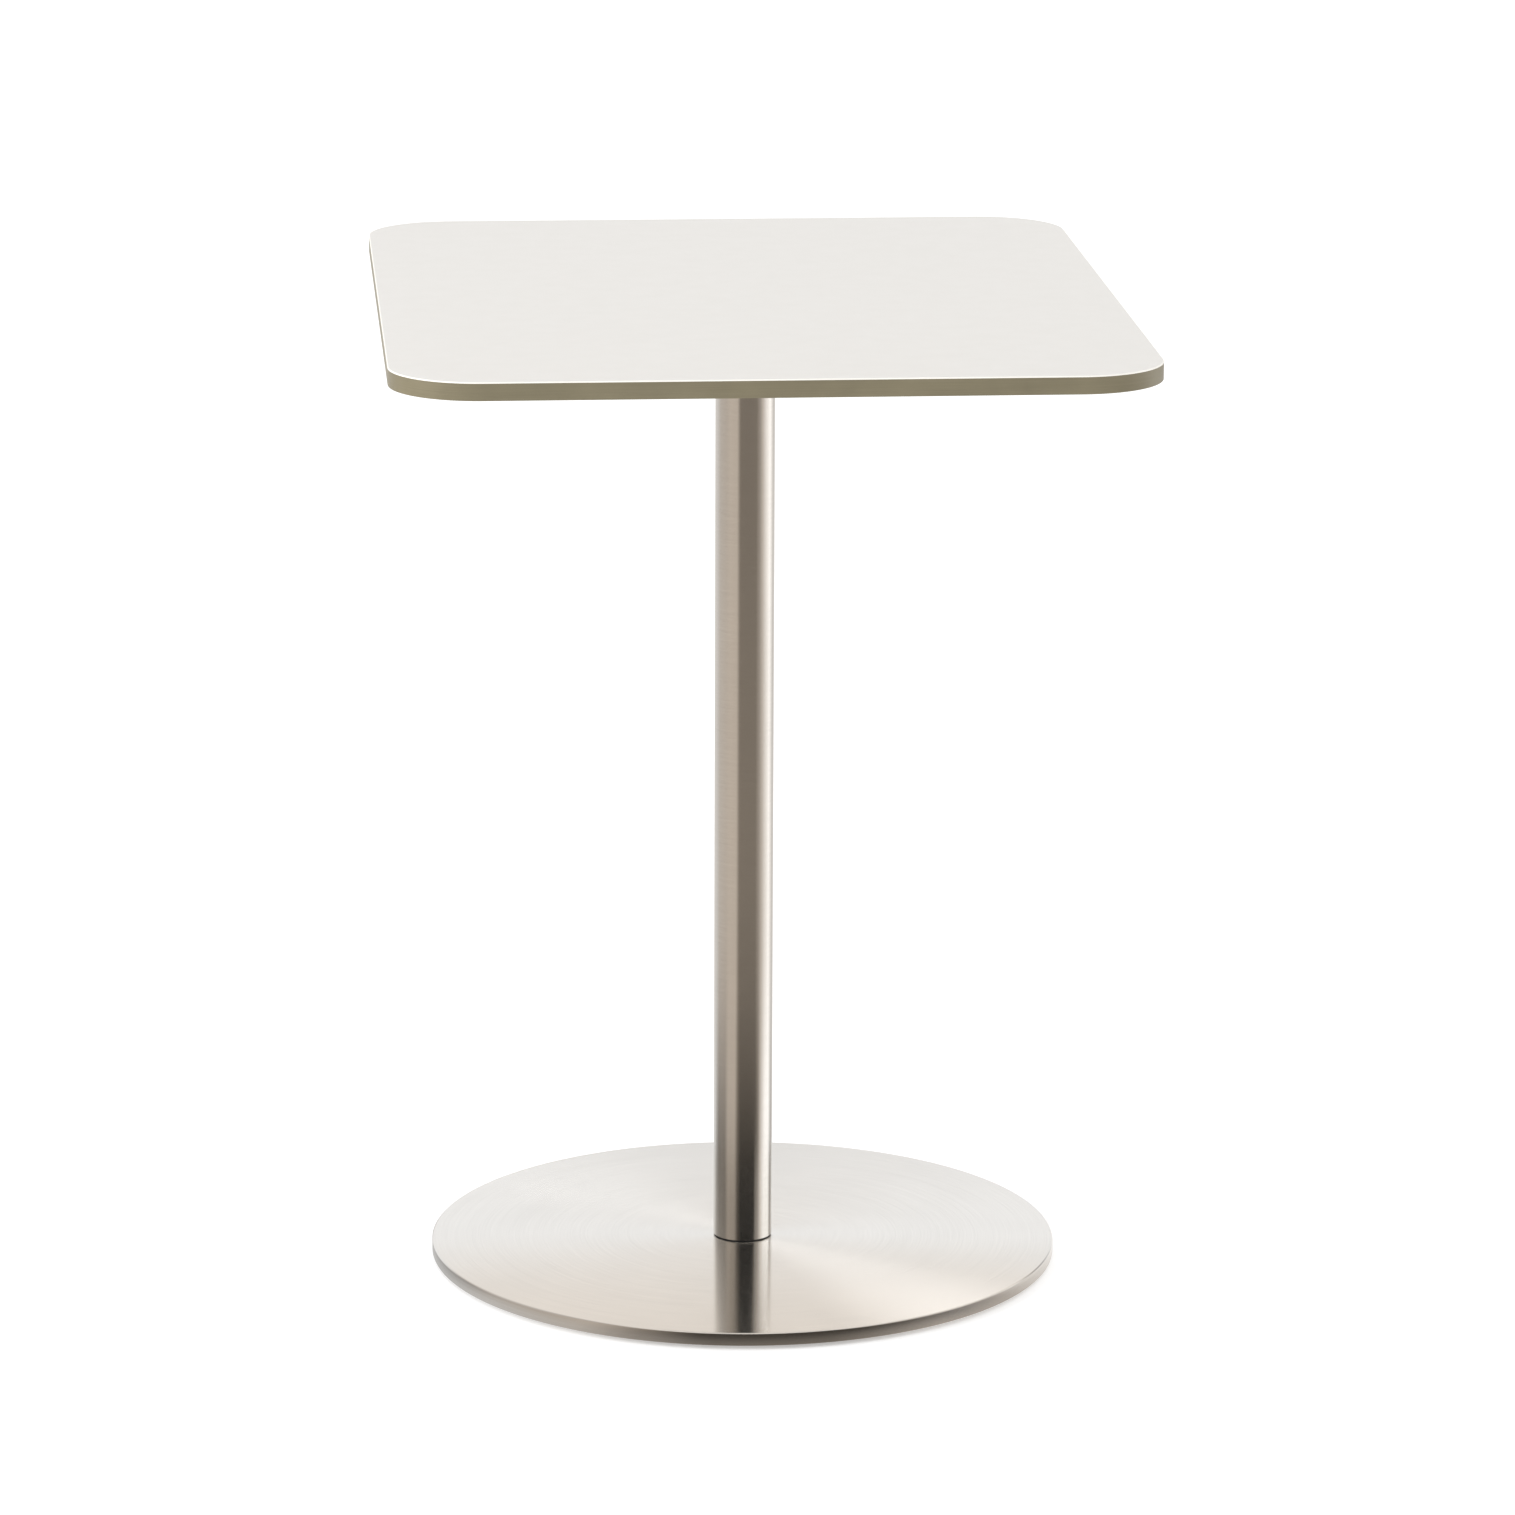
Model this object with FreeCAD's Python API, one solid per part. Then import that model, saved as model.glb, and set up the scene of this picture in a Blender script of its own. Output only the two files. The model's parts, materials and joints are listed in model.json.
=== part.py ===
import FreeCAD, Part
import math
import os
from collections import namedtuple

os.makedirs("parts", exist_ok=True)

# Bistro table: a laminated rectangular top on one round steel column and a flat round
# base plate that stands on four levelling glides.
# Millimetres, +Z up. The origin is on the floor, on the column's axis. The short sides
# of the top run along X and the long sides along Y.

# ---- Overall sizes ----
TABLE_HEIGHT = 750.0
TOP_WIDTH = 550.0  # along X
TOP_DEPTH = 700.0  # along Y
TOP_THICKNESS = 13.4
TOP_CORNER_RADIUS = 65.0
COLUMN_DIAMETER = 45.0
COLUMN_WALL = 2.0
BASE_DIAMETER = 480.0
BASE_THICKNESS = 10.0
FLOOR_GAP = 3.0  # what the glides leave between the floor and the base plate

# ---- Table top ----
FACE_LAMINATE = 1.0
BACKING_LAMINATE = 0.4
BAND_THICKNESS = 1.3
FACE_EDGE_RADIUS = 0.75
BAND_EDGE_RADIUS = 0.5

# ---- Mounting plate between the column and the top ----
MOUNT_WIDTH = 220.0
MOUNT_THICKNESS = 6.0
MOUNT_CORNER_RADIUS = 20.0
MOUNT_EDGE_CHAMFER = 0.8
SCREW_PITCH = 95.0  # from the column's axis to each outer screw, along X and Y
SCREW_HOLE_RADIUS = 3.3

# ---- M6 screws, their washers and the threaded inserts in the core board ----
SCREW_RADIUS = 3.0
SCREW_LENGTH = 16.0
SCREW_HEAD_RADIUS = 5.25
SCREW_HEAD_HEIGHT = 3.3
SCREW_HEAD_ROUND = 2.2
SCREW_SOCKET = 4.0
SCREW_SOCKET_DEPTH = 2.1
WASHER_RADIUS = 6.0
WASHER_HOLE_RADIUS = 3.2
WASHER_THICKNESS = 1.6
INSERT_RADIUS = 4.75
INSERT_LENGTH = 9.5
INSERT_HOLE_DEPTH = 10.0
INSERT_RIM_CHAMFER = 0.5

# ---- Joints at the two ends of the column ----
HEAD_PLUG_LENGTH = 25.0
FOOT_PLUG_LENGTH = 30.0
PLUG_CHAMFER = 0.8
TUBE_END_CHAMFER = 0.4
GASKET_THICKNESS = 0.8
GASKET_RADIUS = 21.8
GASKET_HOLE_RADIUS = 18.0
DOWEL_RADIUS = 3.0
DOWEL_CIRCLE_RADIUS = 14.0
DOWEL_CHAMFER = 0.5
HEAD_DOWEL_IN_PLATE = 4.0
HEAD_DOWEL_LENGTH = 16.0
FOOT_DOWEL_IN_PLATE = 6.0
FOOT_DOWEL_LENGTH = 20.0
BOLT_HEAD_SUNK = 0.2  # how far a countersunk head lies below its plate's face
BOLT_HOLE_GAP = 0.5

# ---- Base plate rim ----
RIM_TOP_CHAMFER = 0.8
RIM_BOTTOM_CHAMFER = 0.6

# ---- Levelling glides ----
GLIDE_COUNT = 4
GLIDE_CIRCLE_RADIUS = 210.0
GLIDE_FIRST_ANGLE = 45.0
GLIDE_HOLE_DEPTH = 8.0
STUD_RADIUS = 4.0
STUD_TIP_GAP = 0.1
STUD_TIP_CHAMFER = 0.6
STUD_FLANGE_RADIUS = 6.2
STUD_SOCKET = 4.0
STUD_SOCKET_DEPTH = 4.0
PAD_RADIUS = 15.0
PAD_HEIGHT = 2.8
PAD_EDGE_RADIUS = 0.5
PAD_FLOOR = 1.0
PAD_POCKET_RADIUS = 6.5
PAD_POCKET_HEIGHT = 1.2
PAD_KEY_HOLE_RADIUS = 3.0
PAD_NECK_HOLE_RADIUS = 4.3
FLANGE_GAP = 0.05  # above and below the stud's flange in the pad's pocket

# ---- Fits ----
THREAD_GAP = 0.05  # threads are plain cylinders, each shank this much under its hole
SLIP_GAP = 0.05
LEVEL_TOLERANCE = 1e-4

# ---- Countersunk bolts: radii, length, and hexagon socket ----
Bolt = namedtuple("Bolt", "thread_radius head_radius length socket socket_depth")
HEAD_BOLT = Bolt(5.0, 10.0, 30.0, 6.0, 3.0)
FOOT_BOLT = Bolt(6.0, 12.0, 35.0, 8.0, 4.0)

# ---- Levels, from the floor up ----
BASE_BOTTOM = FLOOR_GAP
BASE_TOP = BASE_BOTTOM + BASE_THICKNESS
COLUMN_BOTTOM = BASE_TOP + GASKET_THICKNESS
TOP_BOTTOM = TABLE_HEIGHT - TOP_THICKNESS
COLUMN_TOP = TOP_BOTTOM - MOUNT_THICKNESS
CORE_BOTTOM = TOP_BOTTOM + BACKING_LAMINATE
CORE_TOP = TABLE_HEIGHT - FACE_LAMINATE

# ---- Radii that follow from the sizes above ----
BASE_RADIUS = BASE_DIAMETER / 2
COLUMN_RADIUS = COLUMN_DIAMETER / 2
COLUMN_BORE_RADIUS = COLUMN_RADIUS - COLUMN_WALL
PLUG_RADIUS = COLUMN_BORE_RADIUS - SLIP_GAP

UP = FreeCAD.Vector(0, 0, 1)


def cylinder(radius, z_low, z_high, centre=(0.0, 0.0)):
    """An upright cylinder between two levels."""
    foot = FreeCAD.Vector(centre[0], centre[1], z_low)
    return Part.makeCylinder(radius, z_high - z_low, foot, UP)


def hexagon(across_flats, z_low, z_high, centre=(0.0, 0.0)):
    """An upright hexagonal prism, the space of a hexagon socket."""
    corner_radius = across_flats / math.sqrt(3)
    angles = [math.radians(60 * turn) for turn in range(7)]
    corners = [
        FreeCAD.Vector(
            centre[0] + corner_radius * math.cos(angle),
            centre[1] + corner_radius * math.sin(angle),
            z_low,
        )
        for angle in angles
    ]
    return Part.Face(Part.makePolygon(corners)).extrude(UP * (z_high - z_low))


def rounded_slab(width, depth, corner_radius, z_low, z_high):
    """A rectangular slab on the Z axis with rounded upright edges."""
    corner = FreeCAD.Vector(-width / 2, -depth / 2, z_low)
    slab = Part.makeBox(width, depth, z_high - z_low, corner)
    upright = [edge for edge in slab.Edges if edge.BoundBox.ZLength > LEVEL_TOLERANCE]
    return slab.makeFillet(corner_radius, upright)


def lies_at(face, level):
    """Whether a face is flat and lies at a level."""
    box = face.BoundBox
    return abs(box.ZMin - level) < LEVEL_TOLERANCE and abs(box.ZMax - level) < LEVEL_TOLERANCE


def outline_at(shape, level):
    """The outer edges of a solid's flat face at one level."""
    face = next(face for face in shape.Faces if lies_at(face, level))
    return face.OuterWire.Edges


def on_circle(radius, count, first_angle=0.0):
    """Centres spaced evenly on a circle about the Z axis."""
    angles = [math.radians(first_angle + 360 * turn / count) for turn in range(count)]
    return [(radius * math.cos(angle), radius * math.sin(angle)) for angle in angles]


def cut_all(shape, tools):
    """A shape with several tools cut out of it."""
    for tool in tools:
        shape = shape.cut(tool)
    return shape


SCREW_CENTRES = [
    (column * SCREW_PITCH, row * SCREW_PITCH)
    for column in (-1, 0, 1)
    for row in (-1, 0, 1)
    if (column, row) != (0, 0)
]
DOWEL_CENTRES = on_circle(DOWEL_CIRCLE_RADIUS, 2)
GLIDE_CENTRES = on_circle(GLIDE_CIRCLE_RADIUS, GLIDE_COUNT, GLIDE_FIRST_ANGLE)


# ---- Table top ----


def top_laminate():
    """The off-white face sheet, which also covers the edge band's upper edge."""
    sheet = rounded_slab(TOP_WIDTH, TOP_DEPTH, TOP_CORNER_RADIUS, CORE_TOP, TABLE_HEIGHT)
    return sheet.makeFillet(FACE_EDGE_RADIUS, outline_at(sheet, TABLE_HEIGHT))


def inner_board(z_low, z_high):
    """A layer of the top that lies inside the edge band."""
    width = TOP_WIDTH - 2 * BAND_THICKNESS
    depth = TOP_DEPTH - 2 * BAND_THICKNESS
    return rounded_slab(width, depth, TOP_CORNER_RADIUS - BAND_THICKNESS, z_low, z_high)


def insert_holes():
    """The blind holes that the threaded inserts are set in, from the underside up."""
    radius = INSERT_RADIUS + SLIP_GAP
    top = TOP_BOTTOM + INSERT_HOLE_DEPTH
    return [cylinder(radius, TOP_BOTTOM, top, centre) for centre in SCREW_CENTRES]


def core_board():
    """The fibre board core, with the blind holes for the inserts."""
    return cut_all(inner_board(CORE_BOTTOM, CORE_TOP), insert_holes())


def backing_laminate():
    """The balancing sheet under the core, pierced by the insert holes."""
    return cut_all(inner_board(TOP_BOTTOM, CORE_BOTTOM), insert_holes())


def edge_band():
    """The plastic band glued round the core and backing."""
    outside = rounded_slab(TOP_WIDTH, TOP_DEPTH, TOP_CORNER_RADIUS, TOP_BOTTOM, CORE_TOP)
    outside = outside.makeFillet(BAND_EDGE_RADIUS, outline_at(outside, TOP_BOTTOM))
    return outside.cut(inner_board(TOP_BOTTOM, CORE_TOP))


def threaded_insert(centre):
    """One M6 insert, flush with the underside of the top."""
    top = TOP_BOTTOM + INSERT_LENGTH
    body = cylinder(INSERT_RADIUS, TOP_BOTTOM, top, centre)
    body = body.makeChamfer(INSERT_RIM_CHAMFER, outline_at(body, top))
    return body.cut(cylinder(SCREW_RADIUS, TOP_BOTTOM, top, centre))


# ---- Mounting plate and its screws ----


def mounting_plate():
    """The steel plate on the column's head that carries the top."""
    plate = rounded_slab(MOUNT_WIDTH, MOUNT_WIDTH, MOUNT_CORNER_RADIUS, COLUMN_TOP, TOP_BOTTOM)
    plate = plate.makeChamfer(MOUNT_EDGE_CHAMFER, outline_at(plate, COLUMN_TOP))
    screw_holes = [
        cylinder(SCREW_HOLE_RADIUS, COLUMN_TOP, TOP_BOTTOM, centre) for centre in SCREW_CENTRES
    ]
    dowel_top = COLUMN_TOP + HEAD_DOWEL_IN_PLATE + BOLT_HEAD_SUNK
    dowel_holes = [
        cylinder(DOWEL_RADIUS + SLIP_GAP, COLUMN_TOP, dowel_top, centre) for centre in DOWEL_CENTRES
    ]
    bolt_hole = countersunk_hole(HEAD_BOLT, TOP_BOTTOM, COLUMN_TOP)
    return cut_all(plate, screw_holes + dowel_holes + [bolt_hole])


def plate_screw(centre):
    """One M6 button-head screw, its shank up through the plate into an insert."""
    seat = COLUMN_TOP - WASHER_THICKNESS
    crown = seat - SCREW_HEAD_HEIGHT
    head = cylinder(SCREW_HEAD_RADIUS, crown, seat, centre)
    head = head.makeFillet(SCREW_HEAD_ROUND, outline_at(head, crown))
    shank = cylinder(SCREW_RADIUS - THREAD_GAP, seat, seat + SCREW_LENGTH, centre)
    socket = hexagon(SCREW_SOCKET, crown, crown + SCREW_SOCKET_DEPTH, centre)
    return head.fuse(shank).cut(socket)


def plate_washer(centre):
    """One M6 washer between a screw head and the mounting plate."""
    bottom = COLUMN_TOP - WASHER_THICKNESS
    disc = cylinder(WASHER_RADIUS, bottom, COLUMN_TOP, centre)
    return disc.cut(cylinder(WASHER_HOLE_RADIUS, bottom, COLUMN_TOP, centre))


# ---- Countersunk bolts and the holes they sit in ----


def countersunk_bolt(bolt, head_face, direction):
    """A countersunk socket bolt that runs up (+1) or down (-1) from its head."""
    start = FreeCAD.Vector(0, 0, head_face)
    along = UP * direction
    shank_radius = bolt.thread_radius - THREAD_GAP
    taper = bolt.head_radius - shank_radius
    head = Part.makeCone(bolt.head_radius, shank_radius, taper, start, along)
    shank = Part.makeCylinder(shank_radius, bolt.length, start, along)
    socket_end = head_face + direction * bolt.socket_depth
    socket = hexagon(bolt.socket, min(head_face, socket_end), max(head_face, socket_end))
    return head.fuse(shank).cut(socket)


def countersunk_hole(bolt, near_face, far_face):
    """The hole through a plate for a countersunk bolt, its cone at the near face."""
    direction = 1 if far_face > near_face else -1
    start = FreeCAD.Vector(0, 0, near_face)
    along = UP * direction
    hole_radius = bolt.thread_radius + BOLT_HOLE_GAP
    mouth_radius = bolt.head_radius + BOLT_HEAD_SUNK + SLIP_GAP
    cone = Part.makeCone(mouth_radius, hole_radius, mouth_radius - hole_radius, start, along)
    return cone.fuse(cylinder(hole_radius, min(near_face, far_face), max(near_face, far_face)))


# ---- Column and its end plugs ----


def column_tube():
    """The one-piece column tube, its outer corners broken at both ends."""
    rod = cylinder(COLUMN_RADIUS, COLUMN_BOTTOM, COLUMN_TOP)
    ends = outline_at(rod, COLUMN_BOTTOM) + outline_at(rod, COLUMN_TOP)
    rod = rod.makeChamfer(TUBE_END_CHAMFER, ends)
    return rod.cut(cylinder(COLUMN_BORE_RADIUS, COLUMN_BOTTOM, COLUMN_TOP))


def end_plug(z_low, z_high, lead_in, bolt, dowel_low, dowel_high):
    """A tapped steel plug in one end of the tube, with two dowel holes."""
    plug = cylinder(PLUG_RADIUS, z_low, z_high)
    plug = plug.makeChamfer(PLUG_CHAMFER, outline_at(plug, lead_in))
    tapped_hole = cylinder(bolt.thread_radius, z_low, z_high)
    dowel_holes = [
        cylinder(DOWEL_RADIUS + SLIP_GAP, dowel_low, dowel_high, centre) for centre in DOWEL_CENTRES
    ]
    return cut_all(plug, [tapped_hole] + dowel_holes)


def head_plug():
    """The plug at the column's head."""
    bottom = COLUMN_TOP - HEAD_PLUG_LENGTH
    dowel_bottom = COLUMN_TOP + HEAD_DOWEL_IN_PLATE - HEAD_DOWEL_LENGTH - BOLT_HEAD_SUNK
    return end_plug(bottom, COLUMN_TOP, bottom, HEAD_BOLT, dowel_bottom, COLUMN_TOP)


def foot_plug():
    """The plug at the column's foot."""
    top = COLUMN_BOTTOM + FOOT_PLUG_LENGTH
    dowel_top = BASE_TOP - FOOT_DOWEL_IN_PLATE + FOOT_DOWEL_LENGTH + BOLT_HEAD_SUNK
    return end_plug(COLUMN_BOTTOM, top, top, FOOT_BOLT, COLUMN_BOTTOM, dowel_top)


def dowel(centre, z_low, length):
    """One plain dowel pin that keeps the column from turning on its plate."""
    pin = cylinder(DOWEL_RADIUS, z_low, z_low + length, centre)
    ends = outline_at(pin, z_low) + outline_at(pin, z_low + length)
    return pin.makeChamfer(DOWEL_CHAMFER, ends)


def foot_gasket():
    """The thin rubber ring between the column's foot and the base plate."""
    disc = cylinder(GASKET_RADIUS, BASE_TOP, COLUMN_BOTTOM)
    return disc.cut(cylinder(GASKET_HOLE_RADIUS, BASE_TOP, COLUMN_BOTTOM))


# ---- Base plate ----


def base_plate():
    """The round steel plate, drilled from below for its bolt and glides."""
    plate = cylinder(BASE_RADIUS, BASE_BOTTOM, BASE_TOP)
    plate = plate.makeChamfer(RIM_TOP_CHAMFER, outline_at(plate, BASE_TOP))
    plate = plate.makeChamfer(RIM_BOTTOM_CHAMFER, outline_at(plate, BASE_BOTTOM))
    bolt_hole = countersunk_hole(FOOT_BOLT, BASE_BOTTOM, BASE_TOP)
    dowel_bottom = BASE_TOP - FOOT_DOWEL_IN_PLATE - BOLT_HEAD_SUNK
    dowel_holes = [
        cylinder(DOWEL_RADIUS + SLIP_GAP, dowel_bottom, BASE_TOP, centre) for centre in DOWEL_CENTRES
    ]
    glide_top = BASE_BOTTOM + GLIDE_HOLE_DEPTH
    glide_holes = [
        cylinder(STUD_RADIUS, BASE_BOTTOM, glide_top, centre) for centre in GLIDE_CENTRES
    ]
    return cut_all(plate, [bolt_hole] + dowel_holes + glide_holes)


# ---- Levelling glides ----


def glide_pad(centre):
    """A flat nylon foot that holds the stud's flange in a pocket and lets it turn."""
    pad = cylinder(PAD_RADIUS, 0.0, PAD_HEIGHT, centre)
    pad = pad.makeFillet(PAD_EDGE_RADIUS, outline_at(pad, 0.0) + outline_at(pad, PAD_HEIGHT))
    pocket_top = PAD_FLOOR + PAD_POCKET_HEIGHT
    key_hole = cylinder(PAD_KEY_HOLE_RADIUS, 0.0, PAD_FLOOR, centre)
    pocket = cylinder(PAD_POCKET_RADIUS, PAD_FLOOR, pocket_top, centre)
    neck_hole = cylinder(PAD_NECK_HOLE_RADIUS, pocket_top, PAD_HEIGHT, centre)
    return cut_all(pad, [key_hole, pocket, neck_hole])


def glide_stud(centre):
    """The M8 stud, turned with a hexagon key through the hole in its pad."""
    flange_bottom = PAD_FLOOR + FLANGE_GAP
    flange_top = PAD_FLOOR + PAD_POCKET_HEIGHT - FLANGE_GAP
    tip = BASE_BOTTOM + GLIDE_HOLE_DEPTH - STUD_TIP_GAP
    shank = cylinder(STUD_RADIUS - THREAD_GAP, flange_bottom, tip, centre)
    shank = shank.makeChamfer(STUD_TIP_CHAMFER, outline_at(shank, tip))
    flange = cylinder(STUD_FLANGE_RADIUS, flange_bottom, flange_top, centre)
    socket = hexagon(STUD_SOCKET, flange_bottom, flange_bottom + STUD_SOCKET_DEPTH, centre)
    return flange.fuse(shank).cut(socket)


# ---- Output: one STEP file per piece, or per group of identical pieces ----


def write(node, solids):
    """Check the solids of a node and write them to its file."""
    for solid in solids:
        if not solid.isValid() or len(solid.Solids) != 1:
            raise ValueError(node + " is not one valid solid")
    shape = solids[0] if len(solids) == 1 else Part.makeCompound(solids)
    shape.exportStep(os.path.join("parts", node + ".step"))
    print(node, len(solids), round(sum(solid.Volume for solid in solids), 1))


def main():
    head_dowel_bottom = COLUMN_TOP + HEAD_DOWEL_IN_PLATE - HEAD_DOWEL_LENGTH
    foot_dowel_bottom = BASE_TOP - FOOT_DOWEL_IN_PLATE
    write("top_laminate", [top_laminate()])
    write("core_board", [core_board()])
    write("backing_laminate", [backing_laminate()])
    write("edge_band", [edge_band()])
    write("threaded_inserts", [threaded_insert(centre) for centre in SCREW_CENTRES])
    write("mounting_plate", [mounting_plate()])
    write("plate_screws", [plate_screw(centre) for centre in SCREW_CENTRES])
    write("plate_washers", [plate_washer(centre) for centre in SCREW_CENTRES])
    write("head_bolt", [countersunk_bolt(HEAD_BOLT, TOP_BOTTOM - BOLT_HEAD_SUNK, -1)])
    write("head_plug", [head_plug()])
    write("head_dowels", [dowel(c, head_dowel_bottom, HEAD_DOWEL_LENGTH) for c in DOWEL_CENTRES])
    write("column_tube", [column_tube()])
    write("foot_plug", [foot_plug()])
    write("foot_dowels", [dowel(c, foot_dowel_bottom, FOOT_DOWEL_LENGTH) for c in DOWEL_CENTRES])
    write("foot_gasket", [foot_gasket()])
    write("foot_bolt", [countersunk_bolt(FOOT_BOLT, BASE_BOTTOM + BOLT_HEAD_SUNK, 1)])
    write("base_plate", [base_plate()])
    for number, centre in enumerate(GLIDE_CENTRES, start=1):
        write("glide_pad_" + str(number), [glide_pad(centre)])
        write("glide_stud_" + str(number), [glide_stud(centre)])


main()
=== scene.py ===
import json
import math

import bmesh
import bpy
from mathutils import Matrix, Vector


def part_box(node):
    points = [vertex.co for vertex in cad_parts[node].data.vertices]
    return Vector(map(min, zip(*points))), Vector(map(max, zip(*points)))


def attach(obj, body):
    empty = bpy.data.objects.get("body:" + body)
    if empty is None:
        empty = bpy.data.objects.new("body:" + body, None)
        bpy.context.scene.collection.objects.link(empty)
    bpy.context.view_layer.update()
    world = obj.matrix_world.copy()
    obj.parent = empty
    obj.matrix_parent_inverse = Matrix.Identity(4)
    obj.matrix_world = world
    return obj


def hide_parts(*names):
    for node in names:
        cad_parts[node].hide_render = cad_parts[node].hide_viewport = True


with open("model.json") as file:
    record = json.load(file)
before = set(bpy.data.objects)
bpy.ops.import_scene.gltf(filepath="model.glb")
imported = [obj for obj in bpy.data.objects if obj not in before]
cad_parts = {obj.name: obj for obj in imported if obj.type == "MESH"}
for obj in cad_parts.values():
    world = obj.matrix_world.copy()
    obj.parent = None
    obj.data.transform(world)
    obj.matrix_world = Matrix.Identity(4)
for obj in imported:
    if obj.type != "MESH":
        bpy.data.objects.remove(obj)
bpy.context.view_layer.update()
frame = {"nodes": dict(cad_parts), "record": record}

# Bistro table: a laminated rectangular top on one round steel column and a flat round
# base plate. Everything is in metres, +Z up, with the origin on the floor under the
# column. The long sides of the top run along Y, and the front is -Y.

MM = 0.001

# ---- Camera ----
CAMERA_PLACE = Vector((-0.3829, -4.8672, 1.5945))
CAMERA_YAW = -0.0806  # about Z, from looking along +Y
CAMERA_PITCH = -0.2414
CAMERA_ROLL = 0.0039
CAMERA_LENS = 157.0  # millimetres, on a 36 mm sensor

# ---- Shapes that the boxes of the CAD nodes don't give ----
TOP_CORNER_RADIUS = 65 * MM
CORNER_STEPS = 48
FACE_EDGE_RADIUS = 0.75 * MM
BAND_THICKNESS = 1.3 * MM
BAND_EDGE_RADIUS = 0.5 * MM
COLUMN_WALL = 2 * MM
TUBE_END_CHAMFER = 0.4 * MM
RIM_TOP_CHAMFER = 0.8 * MM
RIM_BOTTOM_CHAMFER = 0.6 * MM
RIM_BREAK = 0.15 * MM
FOOT_BOLT_HOLE_RADIUS = 6.5 * MM
FOOT_BOLT_MOUTH_RADIUS = 12.25 * MM
GLIDE_HOLE_RADIUS = 4 * MM
GLIDE_HOLE_DEPTH = 8 * MM
DOWEL_HOLE_RADIUS = 3.05 * MM
DOWEL_HOLE_DEPTH = 6.2 * MM
ROUND_STEPS = 8
COLUMN_SEGMENTS = 256
BASE_SEGMENTS = 720
HOLE_SEGMENTS = 64


# ---- Node graphs ----


class Graph:
    """A node tree with short calls for adding and joining its nodes."""

    def __init__(self, tree):
        self.tree = tree
        tree.nodes.clear()

    def node(self, kind, **values):
        made = self.tree.nodes.new("ShaderNode" + kind)
        for name, value in values.items():
            setattr(made, name, value)
        return made

    def join(self, output, socket):
        self.tree.links.new(output, socket)

    def put(self, value, socket):
        """Gives a socket a value, or joins it to another node's output."""
        if isinstance(value, bpy.types.NodeSocket):
            self.join(value, socket)
        else:
            socket.default_value = value

    def math(self, operation, first, second=None):
        made = self.node("Math", operation=operation)
        self.put(first, made.inputs[0])
        if second is not None:
            self.put(second, made.inputs[1])
        return made.outputs[0]

    def length(self, x, y):
        squares = self.math("ADD", self.math("MULTIPLY", x, x), self.math("MULTIPLY", y, y))
        return self.math("SQRT", squares)

    def vector(self, x, y, z):
        made = self.node("CombineXYZ")
        for value, socket in zip((x, y, z), made.inputs):
            self.put(value, socket)
        return made.outputs[0]

    def split(self, vector):
        made = self.node("SeparateXYZ")
        self.join(vector, made.inputs[0])
        return made.outputs

    def noise(self, vector, scale, detail=2.0, roughness=0.5):
        made = self.node("TexNoise")
        self.join(vector, made.inputs["Vector"])
        made.inputs["Scale"].default_value = scale
        made.inputs["Detail"].default_value = detail
        made.inputs["Roughness"].default_value = roughness
        return made.outputs["Fac"]

    def rescale(self, value, low, high, new_low, new_high):
        made = self.node("MapRange")
        self.put(value, made.inputs["Value"])
        for name, number in zip(
            ("From Min", "From Max", "To Min", "To Max"), (low, high, new_low, new_high)
        ):
            self.put(number, made.inputs[name])
        return made.outputs["Result"]

    def mix(self, factor, first, second):
        made = self.node("Mix", data_type="RGBA")
        self.put(factor, made.inputs["Factor"])
        self.put(colour(first), made.inputs[6])
        self.put(colour(second), made.inputs[7])
        return made.outputs[2]

    def ramp(self, factor, stops):
        """A colour ramp from (place, colour) stops."""
        made = self.node("ValToRGB")
        self.put(factor, made.inputs["Fac"])
        band = made.color_ramp
        while len(band.elements) < len(stops):
            band.elements.new(0.5)
        for element, (place, tint) in zip(band.elements, stops):
            element.position = place
            element.color = colour(tint)
        return made.outputs["Color"]

    def bump(self, height, strength, distance):
        made = self.node("Bump")
        made.inputs["Strength"].default_value = strength
        made.inputs["Distance"].default_value = distance
        self.join(height, made.inputs["Height"])
        return made.outputs["Normal"]


def colour(value):
    """An RGBA colour from an RGB triple; sockets pass through."""
    if isinstance(value, bpy.types.NodeSocket):
        return value
    return (*value, 1.0)


def new_material(name):
    """A material with an empty graph, its shader and its output."""
    material = bpy.data.materials.new(name)
    material.use_nodes = True
    graph = Graph(material.node_tree)
    shader = graph.node("BsdfPrincipled")
    output = graph.node("OutputMaterial")
    graph.join(shader.outputs[0], output.inputs["Surface"])
    return material, graph, shader.inputs


def object_place(graph):
    return graph.node("TexCoord").outputs["Object"]


# ---- Materials ----

STREAKS_ROUND = 6.0  # how often a streak changes round a disc, for each radian
TUBE_STREAK_SCALE = 40.0  # about one over the column's radius in metres


def laminate(name, light, dark, roughness):
    """Satin high-pressure laminate: a faint mottle and a fine pearl texture."""
    material, graph, shader = new_material(name)
    place = object_place(graph)
    cloud = graph.noise(place, 55.0, 3.0, 0.6)
    fleck = graph.noise(place, 900.0, 2.0, 0.6)
    mottle = graph.math("MULTIPLY", cloud, fleck)
    shade = graph.rescale(mottle, 0.12, 0.4, 0.0, 1.0)
    graph.join(graph.mix(shade, dark, light), shader["Base Color"])
    gloss = graph.rescale(fleck, 0.3, 0.7, roughness - 0.04, roughness + 0.05)
    graph.join(gloss, shader["Roughness"])
    pearl = graph.noise(place, 1600.0, 1.0)
    graph.join(graph.bump(pearl, 0.12, 0.05 * MM), shader["Normal"])
    return material


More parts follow.
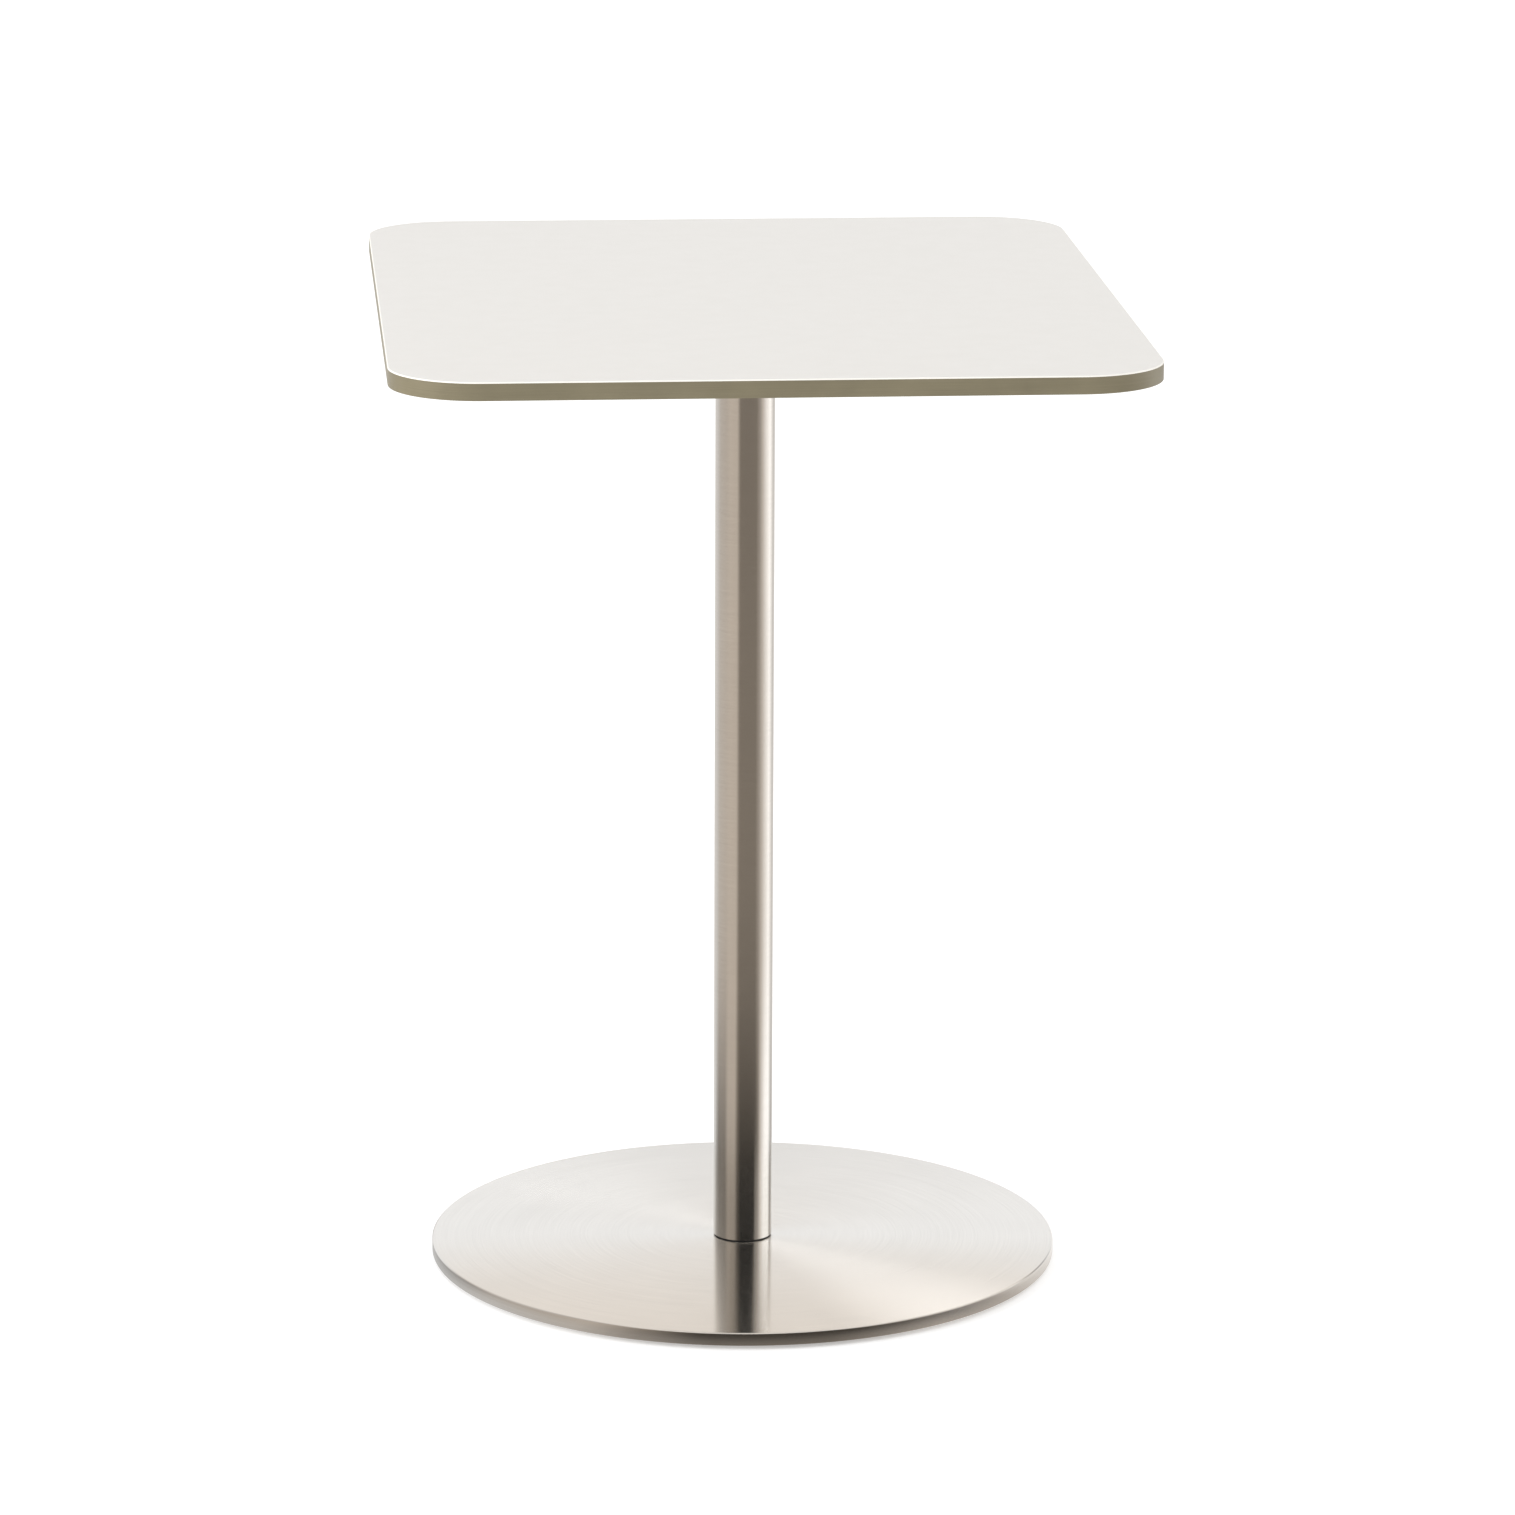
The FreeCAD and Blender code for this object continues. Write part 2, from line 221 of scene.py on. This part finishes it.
def plastic_band(name, light, dark):
    """An extruded plastic band with fine lines along its length."""
    material, graph, shader = new_material(name)
    x, y, z = graph.split(object_place(graph))
    along = graph.vector(graph.math("MULTIPLY", x, 14.0), graph.math("MULTIPLY", y, 14.0),
                         graph.math("MULTIPLY", z, 1800.0))
    lines = graph.noise(along, 1.0, 3.0, 0.6)
    cloud = graph.noise(object_place(graph), 30.0, 2.0)
    shade = graph.rescale(graph.math("ADD", lines, cloud), 0.7, 1.3, 0.0, 1.0)
    graph.join(graph.mix(shade, dark, light), shader["Base Color"])
    graph.join(graph.rescale(lines, 0.3, 0.7, 0.30, 0.42), shader["Roughness"])
    graph.join(graph.bump(lines, 0.15, 0.03 * MM), shader["Normal"])
    return material


def brushed_steel(name, tint, grain, fine, roughness):
    """Satin steel. The grain is "round" about the Z axis on upright walls, or "rings"
    on a flat disc. Fine is the number of streaks in a metre across the grain."""
    material, graph, shader = new_material(name)
    x, y, z = graph.split(object_place(graph))
    if grain == "rings":
        radius = graph.length(x, y)
        across = graph.math("ADD", radius, z)
        along_x = graph.math("DIVIDE", x, radius)
        along_y = graph.math("DIVIDE", y, radius)
    else:
        across = z
        along_x = graph.math("MULTIPLY", x, TUBE_STREAK_SCALE)
        along_y = graph.math("MULTIPLY", y, TUBE_STREAK_SCALE)
    streaks = []
    for share in (1.0, 0.4, 0.15):
        place = graph.vector(graph.math("MULTIPLY", along_x, STREAKS_ROUND * share),
                             graph.math("MULTIPLY", along_y, STREAKS_ROUND * share),
                             graph.math("MULTIPLY", across, fine * share))
        streaks.append(graph.noise(place, 1.0, 2.0, 0.6))
    first = graph.math("ADD", streaks[0], streaks[1])
    streak = graph.math("ADD", first, streaks[2])
    cloud = graph.noise(object_place(graph), 16.0, 2.0)
    shade = graph.rescale(graph.math("ADD", streak, cloud), 1.4, 2.6, 0.0, 1.0)
    dark = tuple(0.90 * part for part in tint)
    graph.join(graph.mix(shade, dark, tint), shader["Base Color"])
    shader["Metallic"].default_value = 1.0
    gloss = graph.rescale(streak, 1.1, 1.9, roughness + 0.01, roughness - 0.01)
    graph.join(gloss, shader["Roughness"])
    shader["Anisotropic"].default_value = 1.0
    shader["Anisotropic Rotation"].default_value = 0.25
    tangent = graph.node("Tangent", direction_type="RADIAL", axis="Z")
    graph.join(tangent.outputs[0], shader["Tangent"])
    graph.join(graph.bump(streaks[1], 0.02, 0.02 * MM), shader["Normal"])
    return material


def plated_metal(name, tint, roughness):
    """Turned or plated metal with a slightly uneven sheen."""
    material, graph, shader = new_material(name)
    place = object_place(graph)
    cloud = graph.noise(place, 400.0, 3.0, 0.6)
    dark = tuple(0.8 * part for part in tint)
    graph.join(graph.mix(graph.rescale(cloud, 0.35, 0.65, 0.0, 1.0), dark, tint), shader["Base Color"])
    shader["Metallic"].default_value = 1.0
    graph.join(graph.rescale(cloud, 0.3, 0.7, roughness + 0.1, roughness - 0.05), shader["Roughness"])
    graph.join(graph.bump(graph.noise(place, 3000.0), 0.1, 0.02 * MM), shader["Normal"])
    return material


def grained_coat(name, tint, roughness, grain_scale, depth):
    """A matte coat or moulding with a fine grain: powder coat, nylon or rubber."""
    material, graph, shader = new_material(name)
    place = object_place(graph)
    grain = graph.noise(place, grain_scale, 2.0, 0.6)
    cloud = graph.noise(place, grain_scale / 20, 2.0)
    light = tuple(min(1.0, 1.5 * part) for part in tint)
    graph.join(graph.mix(graph.rescale(cloud, 0.3, 0.7, 0.0, 1.0), tint, light), shader["Base Color"])
    graph.join(graph.rescale(grain, 0.3, 0.7, roughness - 0.06, roughness + 0.06), shader["Roughness"])
    graph.join(graph.bump(grain, 0.5, depth), shader["Normal"])
    return material


def fibre_board(name):
    """Raw fibre board: short tangled fibres in two browns."""
    material, graph, shader = new_material(name)
    place = object_place(graph)
    fibres = graph.noise(place, 1500.0, 4.0, 0.7)
    shade = graph.rescale(fibres, 0.35, 0.65, 0.0, 1.0)
    graph.join(graph.mix(shade, (0.38, 0.27, 0.17), (0.60, 0.47, 0.32)), shader["Base Color"])
    shader["Roughness"].default_value = 0.85
    graph.join(graph.bump(fibres, 0.6, 0.1 * MM), shader["Normal"])
    return material


def slot_materials():
    """One material for each material slot of the record."""
    return {
        "laminate": laminate("laminate", (0.750, 0.735, 0.708), (0.730, 0.715, 0.685), 0.40),
        "backing": laminate("backing", (0.60, 0.59, 0.56), (0.52, 0.51, 0.48), 0.55),
        "edge_band": plastic_band("edge_band", (0.215, 0.187, 0.118), (0.175, 0.152, 0.095)),
        "core_board": fibre_board("core_board"),
        "brass": plated_metal("brass", (0.78, 0.58, 0.28), 0.3),
        "black_steel": grained_coat("black_steel", (0.02, 0.02, 0.02), 0.5, 1800.0, 0.12 * MM),
        "zinc_steel": plated_metal("zinc_steel", (0.66, 0.67, 0.69), 0.28),
        "turned_steel": plated_metal("turned_steel", (0.55, 0.55, 0.54), 0.35),
        "column_steel": brushed_steel("column_steel", (0.75, 0.73, 0.70), "round", 6000.0, 0.15),
        "base_steel": brushed_steel("base_steel", (0.76, 0.745, 0.72), "rings", 5000.0, 0.155),
        "gasket_rubber": grained_coat("gasket_rubber", (0.012, 0.012, 0.012), 0.7, 2500.0, 0.05 * MM),
        "black_nylon": grained_coat("black_nylon", (0.02, 0.02, 0.02), 0.5, 1500.0, 0.08 * MM),
    }


# ---- Meshes ----


def piece_from(name, points, faces, body, material):
    """A piece that rides on a body and has a slot of the record."""
    mesh = bpy.data.meshes.new(name)
    mesh.from_pydata([tuple(point) for point in points], [], faces)
    mesh.validate()
    piece = bpy.data.objects.new(name, mesh)
    bpy.context.scene.collection.objects.link(piece)
    mesh.materials.append(material)
    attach(piece, body)
    return piece


def shade_by_angle(piece, degrees=20.0):
    """Smooth shading that keeps the edges sharper than an angle."""
    mesh = piece.data
    mesh.polygons.foreach_set("use_smooth", [True] * len(mesh.polygons))
    mesh.set_sharp_from_angle(angle=math.radians(degrees))


def fix_normals(piece):
    """Turns every face of a closed mesh outwards."""
    made = bmesh.new()
    made.from_mesh(piece.data)
    bmesh.ops.recalc_face_normals(made, faces=made.faces)
    made.to_mesh(piece.data)
    made.free()


def strip_faces(ring_count, ring_size, closed):
    """Quads between neighbouring rings of points, and round to the first if closed."""
    faces = []
    for ring in range(ring_count if closed else ring_count - 1):
        low = ring * ring_size
        high = (ring + 1) % ring_count * ring_size
        for step in range(ring_size):
            after = (step + 1) % ring_size
            faces.append((low + step, low + after, high + after, high + step))
    return faces


def circle_ring(radius, level, segments):
    angles = [math.tau * step / segments for step in range(segments)]
    return [(radius * math.cos(a), radius * math.sin(a), level) for a in angles]


def slab_ring(low, high, corner_radius, inset, level):
    """Points round a box's plan with rounded corners, moved in by an inset."""
    reach_x = (high.x - low.x) / 2 - corner_radius
    reach_y = (high.y - low.y) / 2 - corner_radius
    radius = corner_radius - inset
    points = []
    for quarter, (side_x, side_y) in enumerate(((1, 1), (-1, 1), (-1, -1), (1, -1))):
        for step in range(CORNER_STEPS + 1):
            angle = math.pi / 2 * (quarter + step / CORNER_STEPS)
            points.append((side_x * reach_x + radius * math.cos(angle),
                           side_y * reach_y + radius * math.sin(angle), level))
    return points


def quarter_round(inset, level, radius, turn):
    """(inset, level) steps of a rounded edge. Turn +1 rounds an upper edge and -1 a
    lower one; level is the flat face's, and inset the wall's."""
    steps = []
    for step in range(ROUND_STEPS + 1):
        angle = math.pi / 2 * step / ROUND_STEPS
        steps.append((inset + radius * (1 - math.cos(angle)),
                      level - turn * radius * (1 - math.sin(angle))))
    return steps


def fine_top_face(material, edge_highlight_material):
    """The face sheet, its eased edge cut in many small steps. The edge wears a copy of the face's
    laminate that is lighter than its face, a painted highlight along the eased edge.
    """
    low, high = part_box("top_laminate")
    profile = [(0.0, low.z)] + quarter_round(0.0, high.z, FACE_EDGE_RADIUS, 1)
    rings = [slab_ring(low, high, TOP_CORNER_RADIUS, inset, level) for inset, level in profile]
    size = len(rings[0])
    points = [point for ring in rings for point in ring]
    faces = strip_faces(len(rings), size, False)
    faces.append(tuple(reversed(range(size))))
    faces.append(tuple(range(size * (len(rings) - 1), size * len(rings))))
    piece = piece_from("fine_top_laminate", points, faces, "frame", material)
    # The eased edge takes the lighter laminate, a painted highlight.
    piece.data.materials.append(edge_highlight_material)
    for side in piece.data.polygons[:-2]:
        side.material_index = 1
    shade_by_angle(piece)
    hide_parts("top_laminate")


def fine_edge_band(material):
    """The band round the core, with its lower edge rounded."""
    low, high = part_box("edge_band")
    profile = [(0.0, high.z)] + quarter_round(0.0, low.z, BAND_EDGE_RADIUS, -1)
    profile += [(BAND_THICKNESS, low.z), (BAND_THICKNESS, high.z)]
    rings = [slab_ring(low, high, TOP_CORNER_RADIUS, inset, level) for inset, level in profile]
    points = [point for ring in rings for point in ring]
    faces = strip_faces(len(rings), len(rings[0]), True)
    piece = piece_from("fine_edge_band", points, faces, "frame", material)
    fix_normals(piece)
    shade_by_angle(piece)
    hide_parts("edge_band")


def lathe(name, profile, segments, body, material):
    """A closed ring turned about the Z axis from a closed (radius, level) profile."""
    rings = [circle_ring(radius, level, segments) for radius, level in profile]
    points = [point for ring in rings for point in ring]
    faces = strip_faces(len(rings), segments, True)
    piece = piece_from(name, points, faces, body, material)
    fix_normals(piece)
    shade_by_angle(piece)
    return piece


def fine_column(material):
    """The column tube, with its broken ends."""
    low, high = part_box("column_tube")
    outer = (high.x - low.x) / 2
    bore = outer - COLUMN_WALL
    chamfer = TUBE_END_CHAMFER
    profile = [
        (outer - chamfer, low.z), (outer, low.z + chamfer),
        (outer, high.z - chamfer), (outer - chamfer, high.z),
        (bore, high.z), (bore, low.z),
    ]
    piece = lathe("fine_column_tube", profile, COLUMN_SEGMENTS, "frame", material)
    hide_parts("column_tube")


def broken_corner(before, corner, after, reach):
    """Three points that soften one corner of a profile."""
    corner = Vector(corner)
    back = (Vector(before) - corner).normalized() * reach
    ahead = (Vector(after) - corner).normalized() * reach
    middle = corner + (back + ahead) / 4
    return [tuple(corner + back), tuple(middle), tuple(corner + ahead)]


def fine_base(material):
    """The base plate, with its broken rim and the holes in its two faces."""
    low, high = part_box("base_plate")
    outer = (high.x - low.x) / 2
    cone = FOOT_BOLT_MOUTH_RADIUS - FOOT_BOLT_HOLE_RADIUS
    corners = [
        (FOOT_BOLT_HOLE_RADIUS, high.z),
        (outer - RIM_TOP_CHAMFER, high.z),
        (outer, high.z - RIM_TOP_CHAMFER),
        (outer, low.z + RIM_BOTTOM_CHAMFER),
        (outer - RIM_BOTTOM_CHAMFER, low.z),
        (FOOT_BOLT_MOUTH_RADIUS, low.z),
    ]
    profile = [corners[0]]
    for index in range(1, 5):
        profile += broken_corner(corners[index - 1], corners[index], corners[index + 1], RIM_BREAK)
    profile += [corners[5], (FOOT_BOLT_HOLE_RADIUS, low.z + cone)]
    piece = lathe("fine_base_plate", profile, BASE_SEGMENTS, "frame", material)
    drill(piece, base_holes(low.z, high.z))
    shade_by_angle(piece)
    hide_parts("base_plate")


def base_holes(low, high):
    """(centre, radius, lowest, highest) of each blind hole in the base plate."""
    spare = 1 * MM
    holes = []
    for number in (1, 2, 3, 4):
        corner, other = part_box("glide_stud_" + str(number))
        centre = (corner + other) / 2
        holes.append((centre, GLIDE_HOLE_RADIUS, low - spare, low + GLIDE_HOLE_DEPTH))
    corner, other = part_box("foot_dowels")
    reach = (other.x - corner.x) / 2 - (other.y - corner.y) / 2
    for side in (-1, 1):
        centre = Vector((side * reach, 0.0, 0.0))
        holes.append((centre, DOWEL_HOLE_RADIUS, high - DOWEL_HOLE_DEPTH, high + spare))
    return holes


def drill(piece, holes):
    """Cuts upright round holes out of a piece."""
    made = bmesh.new()
    for centre, radius, lowest, highest in holes:
        place = Matrix.Translation((centre.x, centre.y, (lowest + highest) / 2))
        bmesh.ops.create_cone(made, cap_ends=True, segments=HOLE_SEGMENTS, radius1=radius,
                              radius2=radius, depth=highest - lowest, matrix=place)
    mesh = bpy.data.meshes.new("drill_bits")
    made.to_mesh(mesh)
    made.free()
    bits = bpy.data.objects.new("drill_bits", mesh)
    bpy.context.scene.collection.objects.link(bits)
    cut = piece.modifiers.new("holes", "BOOLEAN")
    cut.operation = "DIFFERENCE"
    cut.solver = "EXACT"
    cut.object = bits
    graph = bpy.context.evaluated_depsgraph_get()
    drilled = bpy.data.meshes.new_from_object(piece.evaluated_get(graph))
    piece.modifiers.clear()
    piece.data = drilled
    bpy.data.objects.remove(bits)


# ---- Studio ----


FLOOR_SIZE = 60.0
CARD_SIZE = 16.0
CARD_DROP = 2 * MM  # how far the mirrored floor lies under the pale one

# What polished metal mirrors: stops of (degrees, brightness, warmth) round the table,
# where 0 degrees is the front (-Y) and 90 the right. FLOOR_FAR changes to FLOOR_NEAR
# close to the table and to FLOOR_RIM beside the base plate, and WALL_LOW changes to
# WALL_HIGH and the ceiling above it.
FLOOR_FAR = [
    (-180, 0.85, 0.3), (-135, 0.78, 0.3), (-112, 0.68, 0.7), (-60, 0.69, 1.0),
    (-34, 0.66, 1.0), (-22, 0.30, 1.2), (42, 0.29, 1.2), (56, 0.42, 1.0),
    (72, 0.66, 0.8), (88, 1.00, 0.5), (108, 1.40, 0.2), (122, 1.10, 0.3),
    (135, 0.75, 0.3), (180, 0.85, 0.3),
]
FLOOR_NEAR = [
    (-180, 0.95, 0.1), (-142, 0.80, 0.1), (-126, 0.45, 0.3), (-112, 0.20, 0.8),
    (-80, 0.18, 1.0), (-64, 0.55, 1.0), (-38, 0.58, 1.0), (-26, 0.18, 1.3),
    (-14, 0.02, 1.5), (45, 0.02, 1.5), (56, 0.20, 1.3), (66, 0.75, 0.6),
    (78, 1.20, 0.3), (90, 1.55, 0.1), (112, 1.45, 0.1), (128, 0.60, 0.3),
    (140, 0.60, 0.3), (180, 0.95, 0.1),
]
FLOOR_RIM = [
    (-180, 0.80, 0.0), (-60, 0.75, 0.0), (-30, 0.55, 0.6), (-10, 0.30, 1.0),
    (12, 0.30, 1.0), (35, 0.68, 0.8), (90, 0.75, 0.3), (180, 0.80, 0.0),
]
WALL_LOW = [
    (-180, 1.08, 0.0), (-150, 1.10, 0.0), (-130, 0.45, 0.3), (-112, 0.20, 0.8),
    (-80, 0.18, 1.0), (-64, 0.56, 1.0), (-38, 0.56, 1.0), (-26, 0.10, 1.3),
    (-14, 0.01, 0.8), (40, 0.01, 0.8), (46, 0.28, 0.7), (56, 0.45, 0.7),
    (70, 1.40, 0.4), (86, 2.10, 0.0), (114, 2.00, 0.0), (126, 0.50, 0.2),
    (138, 0.50, 0.2), (152, 1.10, 0.0), (180, 1.08, 0.0),
]
WALL_HIGH = [
    (-180, 1.00, 0.7), (-120, 0.80, 0.5), (-60, 0.45, 1.0), (-32, 0.25, 1.0),
    (-12, 0.03, 0.8), (39, 0.03, 0.8), (46, 0.40, 0.7), (60, 0.60, 0.7),
    (90, 0.85, 0.6), (140, 0.90, 0.8), (180, 1.00, 0.7),
]

# Where one list changes to the next: distances from the column's axis on the floor, and
# heights of a unit direction on the walls.
RIM_REACH = 0.24
RIM_END = 0.30
RIM_SHARE = 0.8
NEAR_REACH = 0.3
FAR_REACH = 0.85
HIGH_START = 0.30
HIGH_END = 0.46
CEILING_START = 0.82
CEILING_END = 0.92
CEILING_BRIGHTNESS = 1.15
CEILING_WARMTH = 0.5

# The mirrored lamp: its direction in degrees, and the cosines of the angles from its
# middle at which its glow begins and is full.
LAMP_TURN = 156
LAMP_LIFT = 40
LAMP_BRIGHTNESS = 5.2
LAMP_EDGE = 0.985
LAMP_HEART = 0.998

SIDE_LIGHT_PLACE = Vector((-3.2, -1.2, 1.1))
SIDE_LIGHT_AIM = Vector((0.0, 0.0, 0.7))
SIDE_LIGHT_SIZE = 2.4
SIDE_LIGHT_POWER = 62.0


def turn_share(degrees):
    """A direction's place on a colour ramp, from the back round by the left."""
    return (degrees + 180.0) / 360.0


def tone(brightness, warmth):
    """A grey that loses a quarter of its blue at warmth 1."""
    return (brightness, brightness * (1 - 0.125 * warmth), brightness * (1 - 0.25 * warmth))


def bands(graph, x, y, stops):
    """A ramp of tones round the Z axis."""
    angle = graph.math("ARCTAN2", x, graph.math("MULTIPLY", y, -1.0))
    share = graph.rescale(angle, -math.pi, math.pi, 0.0, 1.0)
    return graph.ramp(share, [(turn_share(stop[0]), tone(stop[1], stop[2])) for stop in stops])


def level_square(size, level):
    half = size / 2
    return [(-half, -half, level), (half, -half, level), (half, half, level), (-half, half, level)]


def stage_object(name, corners, material):
    """A flat four-sided surface of the studio."""
    mesh = bpy.data.meshes.new(name)
    mesh.from_pydata(corners, [], [(0, 1, 2, 3)])
    mesh.materials.append(material)
    made = bpy.data.objects.new(name, mesh)
    bpy.context.scene.collection.objects.link(made)
    return made


def pale_floor():
    """A plain pale floor, which metal doesn't mirror."""
    material, graph, shader = new_material("floor")
    shader["Base Color"].default_value = (0.85, 0.85, 0.85, 1.0)
    shader["Roughness"].default_value = 1.0
    shader["Specular IOR Level"].default_value = 0.0
    shader["Emission Color"].default_value = (1.0, 1.0, 1.0, 1.0)
    shader["Emission Strength"].default_value = 0.35
    material.cycles.emission_sampling = "NONE"
    floor = stage_object("floor", level_square(FLOOR_SIZE, 0.0), material)
    floor.visible_glossy = False


def mirrored_floor():
    """What polished metal mirrors below the horizon, in place of the pale floor."""
    material = bpy.data.materials.new("mirrored_floor")
    material.use_nodes = True
    material.cycles.emission_sampling = "NONE"
    graph = Graph(material.node_tree)
    x, y, _ = graph.split(object_place(graph))
    distance = graph.length(x, y)
    share = graph.rescale(distance, NEAR_REACH, FAR_REACH, 0.0, 1.0)
    rim_share = graph.rescale(distance, RIM_REACH, RIM_END, RIM_SHARE, 0.0)
    near = graph.mix(rim_share, bands(graph, x, y, FLOOR_NEAR), bands(graph, x, y, FLOOR_RIM))
    far = bands(graph, x, y, FLOOR_FAR)
    light = graph.node("Emission")
    graph.join(graph.mix(share, near, far), light.inputs["Color"])
    output = graph.node("OutputMaterial")
    graph.join(light.outputs[0], output.inputs["Surface"])
    card = stage_object("mirrored_floor", level_square(CARD_SIZE, -CARD_DROP), material)
    card.visible_camera = False
    card.visible_diffuse = False
    card.visible_transmission = False
    card.visible_shadow = False


def lamp_direction():
    side = math.radians(LAMP_TURN)
    lift = math.radians(LAMP_LIFT)
    return (math.sin(side) * math.cos(lift), -math.cos(side) * math.cos(lift), math.sin(lift))


def studio_world():
    """White to the camera; to metal, softly banded walls and one soft lamp."""
    world = bpy.data.worlds.new("studio")
    bpy.context.scene.world = world
    world.use_nodes = True
    graph = Graph(world.node_tree)
    direction = graph.node("TexCoord").outputs["Generated"]
    x, y, z = graph.split(direction)
    height = graph.rescale(z, HIGH_START, HIGH_END, 0.0, 1.0)
    walls = graph.mix(height, bands(graph, x, y, WALL_LOW), bands(graph, x, y, WALL_HIGH))
    overhead = graph.rescale(z, CEILING_START, CEILING_END, 0.0, 1.0)
    room = graph.mix(overhead, walls, tone(CEILING_BRIGHTNESS, CEILING_WARMTH))
    facing = graph.node("VectorMath", operation="DOT_PRODUCT")
    graph.join(direction, facing.inputs[0])
    facing.inputs[1].default_value = lamp_direction()
    glow = graph.rescale(facing.outputs["Value"], LAMP_EDGE, LAMP_HEART, 0.0, 1.0)
    mirrored = graph.mix(glow, room, tone(LAMP_BRIGHTNESS, 0.0))
    path = graph.node("LightPath")
    tint = graph.mix(path.outputs["Is Glossy Ray"], (1.0, 1.0, 1.0), mirrored)
    light = graph.node("Background")
    graph.join(tint, light.inputs["Color"])
    light.inputs["Strength"].default_value = 1.0
    output = graph.node("OutputWorld")
    graph.join(light.outputs[0], output.inputs["Surface"])


def side_light():
    """A large soft light on the left, which metal doesn't mirror."""
    data = bpy.data.lights.new("side_light", "AREA")
    data.size = SIDE_LIGHT_SIZE
    data.energy = SIDE_LIGHT_POWER
    made = bpy.data.objects.new("side_light", data)
    bpy.context.scene.collection.objects.link(made)
    made.location = SIDE_LIGHT_PLACE
    aim = SIDE_LIGHT_AIM - SIDE_LIGHT_PLACE
    made.rotation_euler = aim.to_track_quat("-Z", "Y").to_euler()
    made.visible_glossy = False


def camera():
    data = bpy.data.cameras.new("camera")
    data.lens = CAMERA_LENS
    data.sensor_width = 36.0
    data.clip_start = 0.1
    data.clip_end = 200.0
    made = bpy.data.objects.new("camera", data)
    bpy.context.scene.collection.objects.link(made)
    made.matrix_world = (
        Matrix.Translation(CAMERA_PLACE)
        @ Matrix.Rotation(CAMERA_YAW, 4, "Z")
        @ Matrix.Rotation(math.pi / 2 + CAMERA_PITCH, 4, "X")
        @ Matrix.Rotation(CAMERA_ROLL, 4, "Z")
    )
    bpy.context.scene.camera = made


# ---- The table ----


def dress_nodes(materials):
    """Gives each CAD node the material of its slot in the record."""
    for part in frame["record"]["subparts"]:
        node = frame["nodes"][part["node"]]
        node.data.materials.clear()
        node.data.materials.append(materials[part["material_slot"]])


materials = slot_materials()
dress_nodes(materials)
# A lighter copy of the laminate for the face sheet's eased edge: a painted highlight.
laminate_edge_highlight = laminate("laminate_edge_highlight", (0.92, 0.90, 0.84), (0.88, 0.86, 0.80), 0.35)
fine_top_face(materials["laminate"], laminate_edge_highlight)
fine_edge_band(materials["edge_band"])
fine_column(materials["column_steel"])
fine_base(materials["base_steel"])

pale_floor()
mirrored_floor()
studio_world()
side_light()
camera()
bpy.context.scene.view_settings.view_transform = "Standard"
